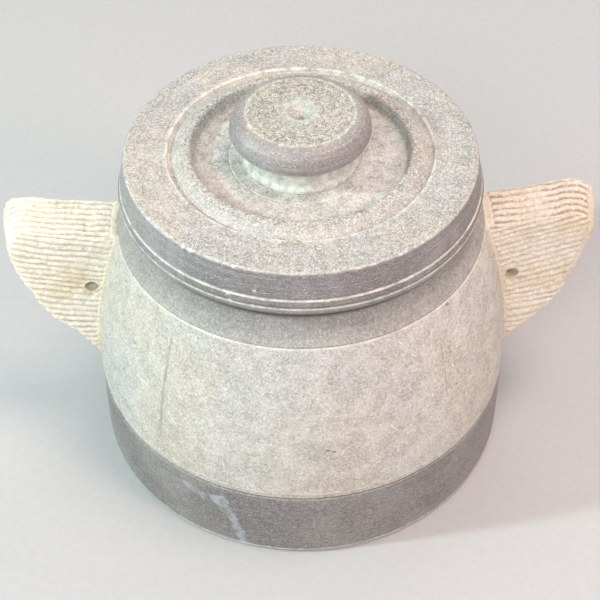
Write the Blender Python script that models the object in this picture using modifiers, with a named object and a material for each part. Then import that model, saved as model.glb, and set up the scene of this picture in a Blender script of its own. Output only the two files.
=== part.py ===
"""A lathe-turned soapstone pot with two carved wing handles and a lift-off lid with a mushroom knob.

Metres, +Z up. The origin is the centre of the pot's base, +X runs through the right-hand handle.
"""

import math

import bmesh
import bpy

MM = 0.001
FIT_GAP = 0.3  # clearance between stones that touch

# Every size below is in millimetres.

# Pot, from the base upwards
BASE_RADIUS = 67.4
BASE_CHAMFER = 0.8
BASE_BAND_TOP = 29.0
BASE_FILLET = 1.7  # between the two incised lines at the top of the base band
FOOT_RING = 2.1
BASE_BAND_TOP_RADIUS = 66.9
NECK_LINE_HEIGHT = 83.9
NECK_LINE_RADIUS = 56.4
RIM_HEIGHT = 94.8
RIM_RADIUS = 50.8
RIM_EDGE = 0.8
SHOULDER_POWER = 1.9  # how late the wall starts to lean in towards the neck
SHOULDER_STEPS = 9
NECK_HOLLOW = 0.7  # how far the neck is dished below a straight cone
NECK_STEPS = 4
LINE_DEPTH = 0.6  # the incised lines above and below the middle band
LINE_HALF_WIDTH = 0.6
FINE_LINE_DEPTH = 0.4
FINE_LINE_HALF_WIDTH = 0.35

# Pot, inside
MOUTH_RADIUS = 43.4
MOUTH_DEPTH = 7.0
FLOOR_THICKNESS = 12.0
FLOOR_CORNER = 9.0
FLOOR_CORNER_STEPS = 4
NECK_WALL = 9.5
BELLY_WALL = 11.0
INNER_STEPS = 6

# Lid
LID_SEAT = RIM_HEIGHT + FIT_GAP
LID_TOP = 110.0
LID_TOP_RADIUS = 52.5
LID_TOP_EDGE = 0.9
LID_BAND_RADIUS = 54.0
LID_BAND_BOTTOM = 101.2
BEAD_RADIUS = 54.8
BEAD_BOTTOM = 98.4
LIP_RADIUS = 54.4
LIP_BOTTOM_RADIUS = 53.3
LID_LINE_DEPTH = 0.5
LID_LINE_HALF_WIDTH = 0.45
PLUG_RADIUS = MOUTH_RADIUS - 0.8
PLUG_BOTTOM = 90.0
PLUG_EDGE = 1.2
STEP_RADIUS = 38.8
STEP_DEPTH = 1.3
COLLAR_OUTER_RADIUS = 35.0
COLLAR_INNER_RADIUS = 33.0
COLLAR_RISE = 1.5
RECESS_RADIUS = 31.6
RECESS_FLOOR = 107.3

# Knob
KNOB_BOTTOM = RECESS_FLOOR + FIT_GAP
KNOB_TOP = 123.9
KNOB_FLAT_RADIUS = 16.4
KNOB_FOOT_RADIUS = 17.5
KNOB_FOOT_HEIGHT = 0.7
KNOB_STEM_RADIUS = 16.4
DIMPLE_RADIUS = 4.0
DIMPLE_DEPTH = 3.2
# radius and height of the rounded side, from the flat top down to the stem
KNOB_SIDE = (
    (18.9, 122.9),
    (20.0, 121.4),
    (20.7, 119.6),
    (20.8, 118.0),
    (20.4, 116.6),
    (19.4, 115.5),
    (17.6, 114.7),
    (16.7, 113.4),
)

# Handles: distance out from the pot's axis and height, from the neck line round to the lower root
HANDLE_RIGHT = (
    (57.5, 83.6),
    (66.0, 84.6),
    (76.0, 86.8),
    (85.0, 87.6),
    (89.6, 83.0),
    (88.4, 72.5),
    (85.6, 60.0),
    (80.8, 48.5),
    (74.2, 40.0),
    (67.3, 31.5),
)
HANDLE_LEFT = (
    (57.5, 84.0),
    (66.0, 84.8),
    (76.0, 86.0),
    (86.0, 87.0),
    (89.75, 82.0),
    (89.5, 72.0),
    (85.8, 60.5),
    (80.8, 49.5),
    (74.0, 42.2),
    (67.3, 32.5),
)
HANDLE_THICKNESS = 18.0
HANDLE_BACK_SHIFT = 1.0  # the slab's middle stands this far behind the pot's axis
HANDLE_FLARE = 0.105  # how much further the back of the slab reaches out than its front
HANDLE_FLARE_START = 57.5
HANDLE_EDGE = 1.6
HANDLE_ROOT_INSIDE = 50.0  # the outline starts inside the wall, which then cuts the root to shape
CORD_HOLE_OUT = 66.3
CORD_HOLE_HEIGHT = 63.0
CORD_HOLE_RADIUS = 2.0

# Iron pins that key the handles and the knob on
PIN_RADIUS = 2.5
PIN_CHAMFER = 0.4
PIN_UPPER = {"height": 75.0, "start": 54.0, "end": 70.0}
PIN_LOWER = {"height": 47.0, "start": 59.6, "end": 73.0}
KNOB_PIN_RADIUS = 3.0
KNOB_PIN_BOTTOM = 98.3
KNOB_PIN_TOP = 116.2

TURNED_SIDES = 72
KNOB_SIDES = 48
PIN_SIDES = 20
SMOOTH_ANGLE = math.radians(32)

COLOURS = {
    "pot_stone": (0.50, 0.50, 0.47),
    "lid_stone": (0.55, 0.54, 0.52),
    "knob_stone": (0.42, 0.41, 0.38),
    "handle_stone": (0.83, 0.76, 0.64),
    "iron": (0.09, 0.08, 0.075),
}


def clear_scene():
    for obj in list(bpy.data.objects):
        bpy.data.objects.remove(obj, do_unlink=True)


def new_collection(name, hidden=False):
    collection = bpy.data.collections.new(name)
    collection.hide_render = hidden
    bpy.context.scene.collection.children.link(collection)
    return collection


def make_material(name, colour, roughness, metallic=0.0):
    material = bpy.data.materials.new(name)
    material.use_nodes = True
    shader = material.node_tree.nodes["Principled BSDF"]
    shader.inputs["Base Color"].default_value = (*colour, 1.0)
    shader.inputs["Roughness"].default_value = roughness
    shader.inputs["Metallic"].default_value = metallic
    material.diffuse_color = (*colour, 1.0)
    return material


def mesh_object(name, bm, collection):
    mesh = bpy.data.meshes.new(name)
    bm.to_mesh(mesh)
    bm.free()
    obj = bpy.data.objects.new(name, mesh)
    collection.objects.link(obj)
    return obj


def bake(obj):
    """Turns the object's modifiers into plain mesh."""
    bpy.context.view_layer.update()
    graph = bpy.context.evaluated_depsgraph_get()
    mesh = bpy.data.meshes.new_from_object(obj.evaluated_get(graph))
    obj.modifiers.clear()
    obj.data = mesh
    mesh.name = obj.name


def shade_round(obj):
    obj.data.shade_smooth()
    obj.data.set_sharp_from_angle(angle=SMOOTH_ANGLE)


def turn(name, profile, sides, collection):
    """A turned solid from (radius, height) points that start and end on the axis, outer side going down."""
    bm = bmesh.new()
    corners = [bm.verts.new((radius * MM, 0.0, height * MM)) for radius, height in profile]
    for first, second in zip(corners, corners[1:]):
        bm.edges.new((first, second))
    obj = mesh_object(name, bm, collection)
    screw = obj.modifiers.new("Turn", "SCREW")
    screw.axis = "Z"
    screw.angle = 2 * math.pi
    screw.steps = sides
    screw.render_steps = sides
    screw.use_merge_vertices = True
    screw.merge_threshold = 0.00001
    bake(obj)
    return obj


def rod(name, radius, length, collection, chamfer=0.0):
    """A cylinder along Z, centred on the origin."""
    bm = bmesh.new()
    bmesh.ops.create_cone(
        bm,
        cap_ends=True,
        segments=PIN_SIDES,
        radius1=radius * MM,
        radius2=radius * MM,
        depth=length * MM,
    )
    obj = mesh_object(name, bm, collection)
    if chamfer:
        bevel = obj.modifiers.new("Chamfer", "BEVEL")
        bevel.width = chamfer * MM
        bevel.segments = 1
        bevel.limit_method = "ANGLE"
        bevel.angle_limit = math.radians(60)
        bake(obj)
    return obj


def boolean(obj, cutter, operation="DIFFERENCE"):
    modifier = obj.modifiers.new(cutter.name, "BOOLEAN")
    modifier.operation = operation
    modifier.solver = "EXACT"
    modifier.object = cutter
    bake(obj)
    cutter.hide_render = True
    cutter.display_type = "WIRE"


def incised_line(radius, height, depth, half_width, slope=0.0):
    """Three profile points of a V cut by the tool's tip; slope is the wall's radius change per height."""
    return [
        (radius + slope * half_width, height + half_width),
        (radius - depth, height),
        (radius - slope * half_width, height - half_width),
    ]


def belly_radius(height):
    """Outer radius of the pot's middle band, which leans in faster towards the neck."""
    rise = (height - BASE_BAND_TOP) / (NECK_LINE_HEIGHT - BASE_BAND_TOP)
    return BASE_BAND_TOP_RADIUS - (BASE_BAND_TOP_RADIUS - NECK_LINE_RADIUS) * rise**SHOULDER_POWER


def neck_points():
    """The shallow cove from just under the rim down to the neck line."""
    top = RIM_HEIGHT - RIM_EDGE
    bottom = NECK_LINE_HEIGHT + LINE_HALF_WIDTH
    points = []
    for step in range(NECK_STEPS + 1):
        part = step / NECK_STEPS
        straight = RIM_RADIUS + (NECK_LINE_RADIUS - RIM_RADIUS) * part
        hollow = NECK_HOLLOW * math.sin(math.pi * part)
        points.append((straight - hollow, top + (bottom - top) * part))
    return points


def belly_points(grow=0.0):
    """Outer side of the middle band, from under the neck line down to above the base line."""
    top = NECK_LINE_HEIGHT - LINE_HALF_WIDTH
    bottom = BASE_BAND_TOP + LINE_HALF_WIDTH
    points = []
    for step in range(SHOULDER_STEPS + 1):
        height = top + (bottom - top) * step / SHOULDER_STEPS
        points.append((belly_radius(height) + grow, height))
    return points


def inside_points():
    """Floor, rounded corner, inner wall and mouth, going up."""
    corner_radius = BASE_BAND_TOP_RADIUS - BELLY_WALL - FLOOR_CORNER
    points = [(0.0, FLOOR_THICKNESS)]
    for step in range(FLOOR_CORNER_STEPS + 1):
        turned = math.pi / 2 * step / FLOOR_CORNER_STEPS
        points.append(
            (
                corner_radius + FLOOR_CORNER * math.sin(turned),
                FLOOR_THICKNESS + FLOOR_CORNER * (1 - math.cos(turned)),
            )
        )
    low = BASE_BAND_TOP
    high = NECK_LINE_HEIGHT - 2.0
    for step in range(INNER_STEPS + 1):
        part = step / INNER_STEPS
        height = low + (high - low) * part
        wall = BELLY_WALL + (NECK_WALL - BELLY_WALL) * part
        points.append((belly_radius(height) - wall, height))
    points.append((MOUTH_RADIUS, RIM_HEIGHT - MOUTH_DEPTH))
    points.append((MOUTH_RADIUS, RIM_HEIGHT - RIM_EDGE))
    return points


def pot_profile():
    middle_of_line = (NECK_LINE_RADIUS - LINE_DEPTH, NECK_LINE_HEIGHT)
    profile = inside_points()
    profile.append((MOUTH_RADIUS + RIM_EDGE, RIM_HEIGHT))
    profile.append((RIM_RADIUS - RIM_EDGE, RIM_HEIGHT))
    profile += neck_points()
    profile.append(middle_of_line)
    profile += belly_points()
    profile.append((BASE_BAND_TOP_RADIUS - LINE_DEPTH, BASE_BAND_TOP))
    profile.append((BASE_BAND_TOP_RADIUS, BASE_BAND_TOP - LINE_HALF_WIDTH))
    fillet_bottom = BASE_BAND_TOP - BASE_FILLET
    profile += incised_line(BASE_BAND_TOP_RADIUS, fillet_bottom, FINE_LINE_DEPTH, FINE_LINE_HALF_WIDTH)
    profile.append((BASE_RADIUS, BASE_BAND_TOP / 3))
    profile += incised_line(BASE_RADIUS, FOOT_RING, FINE_LINE_DEPTH, FINE_LINE_HALF_WIDTH)
    profile.append((BASE_RADIUS, BASE_CHAMFER))
    profile.append((BASE_RADIUS - BASE_CHAMFER, 0.0))
    profile.append((0.0, 0.0))
    return profile


def lid_profile():
    profile = [(0.0, RECESS_FLOOR), (RECESS_RADIUS - 0.6, RECESS_FLOOR), (RECESS_RADIUS, RECESS_FLOOR + 0.6)]
    profile.append((COLLAR_INNER_RADIUS - 0.3, LID_TOP + COLLAR_RISE - 0.4))
    profile.append((COLLAR_INNER_RADIUS, LID_TOP + COLLAR_RISE))
    profile.append((COLLAR_OUTER_RADIUS, LID_TOP + COLLAR_RISE - 0.2))
    profile.append((STEP_RADIUS - 0.3, LID_TOP - STEP_DEPTH))
    profile.append((STEP_RADIUS + 0.4, LID_TOP - STEP_DEPTH + 0.3))
    profile.append((STEP_RADIUS + 0.9, LID_TOP))
    profile.append((LID_TOP_RADIUS - LID_TOP_EDGE, LID_TOP))
    profile.append((LID_TOP_RADIUS - LID_TOP_EDGE * 0.25, LID_TOP - LID_TOP_EDGE * 0.3))
    profile.append((LID_TOP_RADIUS + 0.1, LID_TOP - LID_TOP_EDGE))
    profile += incised_line(LID_BAND_RADIUS, LID_BAND_BOTTOM, LID_LINE_DEPTH, LID_LINE_HALF_WIDTH)
    profile.append((BEAD_RADIUS, BEAD_BOTTOM + 1.2))
    profile += incised_line(BEAD_RADIUS, BEAD_BOTTOM, LID_LINE_DEPTH, LID_LINE_HALF_WIDTH)
    profile.append((LIP_RADIUS, LID_SEAT + 1.4))
    profile.append((LIP_BOTTOM_RADIUS, LID_SEAT))
    profile.append((PLUG_RADIUS, LID_SEAT))
    profile.append((PLUG_RADIUS, PLUG_BOTTOM + PLUG_EDGE))
    profile.append((PLUG_RADIUS - PLUG_EDGE, PLUG_BOTTOM))
    profile.append((0.0, PLUG_BOTTOM))
    return profile


def knob_profile():
    profile = [(0.0, KNOB_TOP - DIMPLE_DEPTH), (DIMPLE_RADIUS, KNOB_TOP), (KNOB_FLAT_RADIUS, KNOB_TOP)]
    profile += KNOB_SIDE
    profile.append((KNOB_STEM_RADIUS, KNOB_BOTTOM + KNOB_FOOT_HEIGHT + 0.5))
    profile.append((KNOB_FOOT_RADIUS, KNOB_BOTTOM + KNOB_FOOT_HEIGHT))
    profile.append((KNOB_FOOT_RADIUS, KNOB_BOTTOM))
    profile.append((0.0, KNOB_BOTTOM))
    return profile


def pot_cutter(collection):
    """The pot's outer side grown by the fit gap: it shapes the handles' roots."""
    points = belly_points(grow=FIT_GAP)
    profile = [(0.0, RIM_HEIGHT), (NECK_LINE_RADIUS + FIT_GAP, RIM_HEIGHT)]
    profile += points
    profile.append((BASE_BAND_TOP_RADIUS + FIT_GAP, 0.0))
    profile.append((0.0, 0.0))
    return turn("pot_cutter", profile, TURNED_SIDES, collection)


def handle_blank(name, outline, side, collection):
    """The wing's outline, sawn out of a slab that stands in the plane of both handles."""
    curve = bpy.data.curves.new(name, "CURVE")
    curve.dimensions = "2D"
    curve.fill_mode = "BOTH"
    curve.extrude = (HANDLE_THICKNESS / 2 - HANDLE_EDGE) * MM
    curve.bevel_depth = HANDLE_EDGE * MM
    curve.bevel_resolution = 1
    curve.offset = -HANDLE_EDGE * MM
    curve.resolution_u = 4
    inside = [(HANDLE_ROOT_INSIDE, outline[-1][1]), (HANDLE_ROOT_INSIDE, outline[0][1])]
    points = list(outline) + inside
    spline = curve.splines.new("BEZIER")
    spline.bezier_points.add(len(points) - 1)
    spline.use_cyclic_u = True
    for index, (out, height) in enumerate(points):
        point = spline.bezier_points[index]
        point.co = (side * out * MM, height * MM, 0.0)
        straight = index in (0, len(outline) - 1) or index >= len(outline)
        point.handle_left_type = "VECTOR" if straight else "AUTO"
        point.handle_right_type = "VECTOR" if straight else "AUTO"
    drawn = bpy.data.objects.new(name + "_outline", curve)
    drawn.rotation_euler = (math.pi / 2, 0.0, 0.0)
    drawn.location.y = HANDLE_BACK_SHIFT * MM
    collection.objects.link(drawn)
    bpy.context.view_layer.update()
    graph = bpy.context.evaluated_depsgraph_get()
    mesh = bpy.data.meshes.new_from_object(drawn.evaluated_get(graph))
    mesh.transform(drawn.matrix_world)
    bpy.data.objects.remove(drawn, do_unlink=True)
    bm = bmesh.new()
    bm.from_mesh(mesh)
    bmesh.ops.remove_doubles(bm, verts=bm.verts, dist=0.00001)
    bmesh.ops.recalc_face_normals(bm, faces=bm.faces)
    flare(bm, side)
    return mesh_object(name, bm, collection)


def flare(bm, side):
    """Widens the slab towards its back, out from the line where it meets the pot."""
    start = side * HANDLE_FLARE_START * MM
    front = (HANDLE_BACK_SHIFT - HANDLE_THICKNESS / 2) * MM
    for vert in bm.verts:
        share = (vert.co.y - front) / (HANDLE_THICKNESS * MM)
        vert.co.x = start + (vert.co.x - start) * (1 + HANDLE_FLARE * share)


def radial_cutter(name, pin, side, collection):
    """A bore for one handle pin, a fit gap larger than the pin all round."""
    length = pin["end"] - pin["start"] + 2 * FIT_GAP
    cutter = rod(name, PIN_RADIUS + FIT_GAP, length, collection)
    place_radial(cutter, pin, side)
    return cutter


def place_radial(obj, pin, side):
    obj.rotation_euler = (0.0, math.pi / 2, 0.0)
    obj.location = (side * (pin["start"] + pin["end"]) / 2 * MM, 0.0, pin["height"] * MM)


def build_handle(name, outline, side, root_cutter, stones, cutters):
    handle = handle_blank(name, outline, side, stones)
    boolean(handle, root_cutter)
    hole = rod(name + "_cord_hole", CORD_HOLE_RADIUS, HANDLE_THICKNESS * 2, cutters)
    hole.rotation_euler = (math.pi / 2, 0.0, 0.0)
    hole.location = (side * CORD_HOLE_OUT * MM, 0.0, CORD_HOLE_HEIGHT * MM)
    boolean(handle, hole)
    return handle


def build_pin(name, pin, side, collection):
    length = pin["end"] - pin["start"]
    obj = rod(name, PIN_RADIUS, length, collection, PIN_CHAMFER)
    place_radial(obj, pin, side)
    return obj


def build_knob_pin(collection):
    length = KNOB_PIN_TOP - KNOB_PIN_BOTTOM
    obj = rod("knob_pin", KNOB_PIN_RADIUS, length, collection, PIN_CHAMFER)
    obj.location = (0.0, 0.0, (KNOB_PIN_TOP + KNOB_PIN_BOTTOM) / 2 * MM)
    return obj


def knob_bore(collection):
    length = KNOB_PIN_TOP - KNOB_PIN_BOTTOM + 2 * FIT_GAP
    cutter = rod("knob_bore", KNOB_PIN_RADIUS + FIT_GAP, length, collection)
    cutter.location = (0.0, 0.0, (KNOB_PIN_TOP + KNOB_PIN_BOTTOM) / 2 * MM)
    return cutter


def build_handles(pot, stones, cutters, stone, iron):
    root_cutter = pot_cutter(cutters)
    for word, outline, side in (("left", HANDLE_LEFT, -1), ("right", HANDLE_RIGHT, 1)):
        handle = build_handle("handle_" + word, outline, side, root_cutter, stones, cutters)
        handle.data.materials.append(stone)
        for level, pin in (("upper", PIN_UPPER), ("lower", PIN_LOWER)):
            bore = radial_cutter(f"bore_{word}_{level}", pin, side, cutters)
            boolean(handle, bore)
            boolean(pot, bore)
            obj = build_pin(f"handle_pin_{word}_{level}", pin, side, stones)
            obj.data.materials.append(iron)
            shade_round(obj)
        shade_round(handle)


def build_lid(stones, cutters, lid_stone, knob_stone, iron):
    """The lid, its knob and the pin between them lift off together, along an empty on the pot's axis."""
    lift = bpy.data.objects.new("lid_lift", None)
    lift.location = (0.0, 0.0, LID_SEAT * MM)
    stones.objects.link(lift)
    bore = knob_bore(cutters)
    lid = turn("lid", lid_profile(), TURNED_SIDES, stones)
    knob = turn("knob", knob_profile(), KNOB_SIDES, stones)
    pin = build_knob_pin(stones)
    boolean(lid, bore)
    boolean(knob, bore)
    for obj, material in ((lid, lid_stone), (knob, knob_stone), (pin, iron)):
        obj.data.materials.append(material)
        shade_round(obj)
        obj.parent = lift
        obj.matrix_parent_inverse.translation = (0.0, 0.0, -LID_SEAT * MM)


def build():
    clear_scene()
    stones = new_collection("soapstone_pot")
    cutters = new_collection("cutters", hidden=True)
    pot_stone = make_material("pot_stone", COLOURS["pot_stone"], 0.55)
    lid_stone = make_material("lid_stone", COLOURS["lid_stone"], 0.50)
    knob_stone = make_material("knob_stone", COLOURS["knob_stone"], 0.45)
    handle_stone = make_material("handle_stone", COLOURS["handle_stone"], 0.85)
    iron = make_material("iron", COLOURS["iron"], 0.60, 0.9)
    pot = turn("pot_body", pot_profile(), TURNED_SIDES, stones)
    build_handles(pot, stones, cutters, handle_stone, iron)
    pot.data.materials.append(pot_stone)
    shade_round(pot)
    build_lid(stones, cutters, lid_stone, knob_stone, iron)


build()
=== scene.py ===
"""A turned soapstone pot with tooled wing handles, a lid and a mushroom knob, on a pale floor."""

import itertools
import math

import bmesh
import bpy
import numpy as np
from mathutils import Euler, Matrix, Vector


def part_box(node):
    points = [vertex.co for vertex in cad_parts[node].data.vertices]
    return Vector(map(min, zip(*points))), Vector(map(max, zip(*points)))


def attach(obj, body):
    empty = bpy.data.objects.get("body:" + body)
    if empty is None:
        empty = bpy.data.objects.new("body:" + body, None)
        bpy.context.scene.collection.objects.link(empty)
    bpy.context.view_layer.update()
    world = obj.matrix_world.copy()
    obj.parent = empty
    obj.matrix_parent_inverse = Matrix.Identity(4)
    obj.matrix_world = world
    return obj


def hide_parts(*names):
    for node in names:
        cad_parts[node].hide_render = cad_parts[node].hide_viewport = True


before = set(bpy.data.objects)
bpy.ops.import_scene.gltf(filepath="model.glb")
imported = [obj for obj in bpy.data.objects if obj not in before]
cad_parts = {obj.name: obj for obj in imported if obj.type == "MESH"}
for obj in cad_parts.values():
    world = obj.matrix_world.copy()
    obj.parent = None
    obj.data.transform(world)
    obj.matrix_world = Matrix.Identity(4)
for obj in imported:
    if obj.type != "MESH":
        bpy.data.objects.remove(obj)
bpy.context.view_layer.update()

MM = 0.001
FULL_TURN = 2 * math.pi

# ---------------------------------------------------------------- sizes, in millimetres

_, POT_HIGH = (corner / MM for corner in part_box("pot_body"))
LID_LOW, LID_HIGH = (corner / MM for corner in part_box("lid"))
KNOB_LOW, KNOB_HIGH = (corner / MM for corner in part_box("knob"))

RIM_Z = POT_HIGH.z
BASE_R = POT_HIGH.x
NECK_LINE_Z = 83.9
NECK_LINE_R = 56.4
BASE_LINE_Z = 29.0
BASE_LINE_R = 66.9
SHOULDER_POWER = 1.9
RIM_R = 50.8
MOUTH_R = 43.4
FLOOR_Z = 12.0
FLOOR_R = 46.9
INNER_CORNER_R = 9.0
WALL_AT_BASE = 11.0
WALL_THINNING = 1.5  # how much thinner the wall is at the top than at the base line
WALL_RISE = 53.0
STONE_GAP = 0.3  # between the rim and the lid, and between the lid and the knob's foot

LID_SEAT_Z = RIM_Z + STONE_GAP
LID_TOP_Z = 110.0
COLLAR_Z = LID_HIGH.z
RECESS_Z = KNOB_LOW.z - STONE_GAP
PLUG_Z = LID_LOW.z

AROUND = 640  # points round a turned piece
# the "dark" value also paints shade along the seam under the lid, in grooves and under the knob's rim, and
# it darkens pits
MASK_WORDS = ("polish", "worn", "dark", "coarse")  # what a turned surface is like, point by point


# ---------------------------------------------------------------- noise for the meshes


def lattice_noise(points, size, seed):
    """Smooth noise from -1 to 1 in blobs about `size` across, for an array of points in millimetres."""
    table = np.random.default_rng(seed).uniform(-1.0, 1.0, 4096)
    cell = points / np.asarray(size, float)
    low = np.floor(cell).astype(np.int64)
    part = cell - low
    part = part * part * (3.0 - 2.0 * part)
    total = np.zeros(len(points))
    for corner in itertools.product((0, 1), repeat=3):
        at = low + np.array(corner)
        key = (at[:, 0] * 73856093) ^ (at[:, 1] * 19349663) ^ (at[:, 2] * 83492791)
        share = np.ones(len(points))
        for axis in range(3):
            share *= part[:, axis] if corner[axis] else 1.0 - part[:, axis]
        total += table[key & 4095] * share
    return total


def rough_noise(points, size, seed, octaves=3):
    """Several sizes of lattice noise, each half as large and half as strong as the one before."""
    total = np.zeros(len(points))
    strength = 1.0
    for octave in range(octaves):
        total += strength * lattice_noise(points, np.asarray(size, float) / 2**octave, seed + octave)
        strength *= 0.5
    return total


def smooth_step(value, low, high):
    part = np.clip((value - low) / (high - low), 0.0, 1.0)
    return part * part * (3.0 - 2.0 * part)


# ---------------------------------------------------------------- turned pieces


class Rows:
    """The outline of a turned piece: points with a radius, a height and what the surface is like there."""

    def __init__(self):
        self.points = []

    def to(self, radius, height, polish=0.0, worn=0.0, dark=0.0, coarse=0.0, step=0.5):
        """A straight line from the last point, cut into steps of about `step` millimetres."""
        new = np.array([radius, height, polish, worn, dark, coarse], float)
        if self.points:
            old = self.points[-1]
            count = max(1, math.ceil(math.hypot(*(new - old)[:2]) / step))
            for index in range(1, count):
                self.points.append(old + (new - old) * index / count)
        self.points.append(new)
        return self

    def array(self):
        return np.array(self.points)


def outward(rows):
    """Unit vectors, in radius and height, that point out of the material at each point of the outline."""
    along = np.gradient(rows[:, :2], axis=0)
    length = np.hypot(along[:, 0], along[:, 1])
    return np.stack([-along[:, 1], along[:, 0]], axis=1) / np.maximum(length, 1e-9)[:, None]


def turned_piece(name, rows, relief):
    """Spins the outline round Z. relief(points, masks) says how many millimetres each point moves out."""
    data = rows.array()
    normal = outward(data)
    angle = np.arange(AROUND) * FULL_TURN / AROUND
    cosine, sine = np.cos(angle), np.sin(angle)
    count = len(data)
    radius = np.repeat(data[:, 0], AROUND)
    height = np.repeat(data[:, 1], AROUND)
    flat = np.stack([radius * np.tile(cosine, count), radius * np.tile(sine, count), height], axis=1)
    masks = {word: np.repeat(data[:, 2 + column], AROUND) for column, word in enumerate(MASK_WORDS)}
    moved = relief(flat, masks)
    out = np.repeat(normal, AROUND, axis=0)
    flat[:, 0] += moved * out[:, 0] * np.tile(cosine, count)
    flat[:, 1] += moved * out[:, 0] * np.tile(sine, count)
    flat[:, 2] += moved * out[:, 1]
    return grid_mesh(name, flat, count, masks)


def paint(mesh, word, values):
    """Stores one number per point, for the materials to read by name."""
    attribute = mesh.attributes.new(word, "FLOAT", "POINT")
    attribute.data.foreach_set("value", values.astype(np.float32))


def grid_mesh(name, points, count, masks):
    """A closed surface from rings of points, the first and last of which lie on the axis."""
    inner = np.arange(1, count - 2)[:, None] * AROUND + np.arange(AROUND)[None, :]
    beside = np.arange(1, count - 2)[:, None] * AROUND + (np.arange(AROUND)[None, :] + 1) % AROUND
    quads = np.stack([inner, inner + AROUND, beside + AROUND, beside], axis=2).reshape(-1, 4) - AROUND + 1
    ring = np.arange(AROUND)
    following = (ring + 1) % AROUND
    last = (count - 2) * AROUND + 1
    first_fan = np.stack([np.zeros(AROUND, int), ring + 1, following + 1], axis=1)
    last_fan = np.stack([np.full(AROUND, last), following + last - AROUND, ring + last - AROUND], axis=1)
    keep = np.r_[0, np.arange(AROUND, (count - 1) * AROUND), (count - 1) * AROUND]
    vertices = points[keep] * MM
    vertices[0, :2] = 0.0
    vertices[-1, :2] = 0.0
    mesh = bpy.data.meshes.new(name)
    mesh.from_pydata(vertices.tolist(), [], quads.tolist() + first_fan.tolist() + last_fan.tolist())
    for word in MASK_WORDS:
        paint(mesh, word, masks[word][keep])
    mesh.shade_smooth()
    mesh.update()
    obj = bpy.data.objects.new(name, mesh)
    bpy.context.scene.collection.objects.link(obj)
    return obj


def chips(points, places, seed):
    """How deep each point lies in a chip, 0 to 1. Each place is (angle, height, radius, size)."""
    depth = np.zeros(len(points))
    ragged = 1.0 + 0.45 * rough_noise(points, 1.3, seed)
    for degrees, height, radius, size in places:
        turned = math.radians(degrees)
        centre = np.array([radius * math.cos(turned), radius * math.sin(turned), height])
        away = np.linalg.norm(points - centre, axis=1) * ragged
        depth = np.maximum(depth, 1.0 - smooth_step(away, size * 0.45, size))
    return depth


def scattered(count, height, radius, small, large, seed):
    """Random small chips along one edge."""
    random = np.random.default_rng(seed)
    degrees = random.uniform(0.0, 360.0, count)
    sizes = small + (large - small) * random.random(count) ** 2
    return [(float(angle), height, radius, float(size)) for angle, size in zip(degrees, sizes)]


def belly_radius(height):
    """The belly's radius at one height or many. Above and below the belly it stays as at its ends."""
    inside = np.clip(height, BASE_LINE_Z, NECK_LINE_Z)
    rise = (inside - BASE_LINE_Z) / (NECK_LINE_Z - BASE_LINE_Z)
    return BASE_LINE_R - (BASE_LINE_R - NECK_LINE_R) * rise**SHOULDER_POWER


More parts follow.
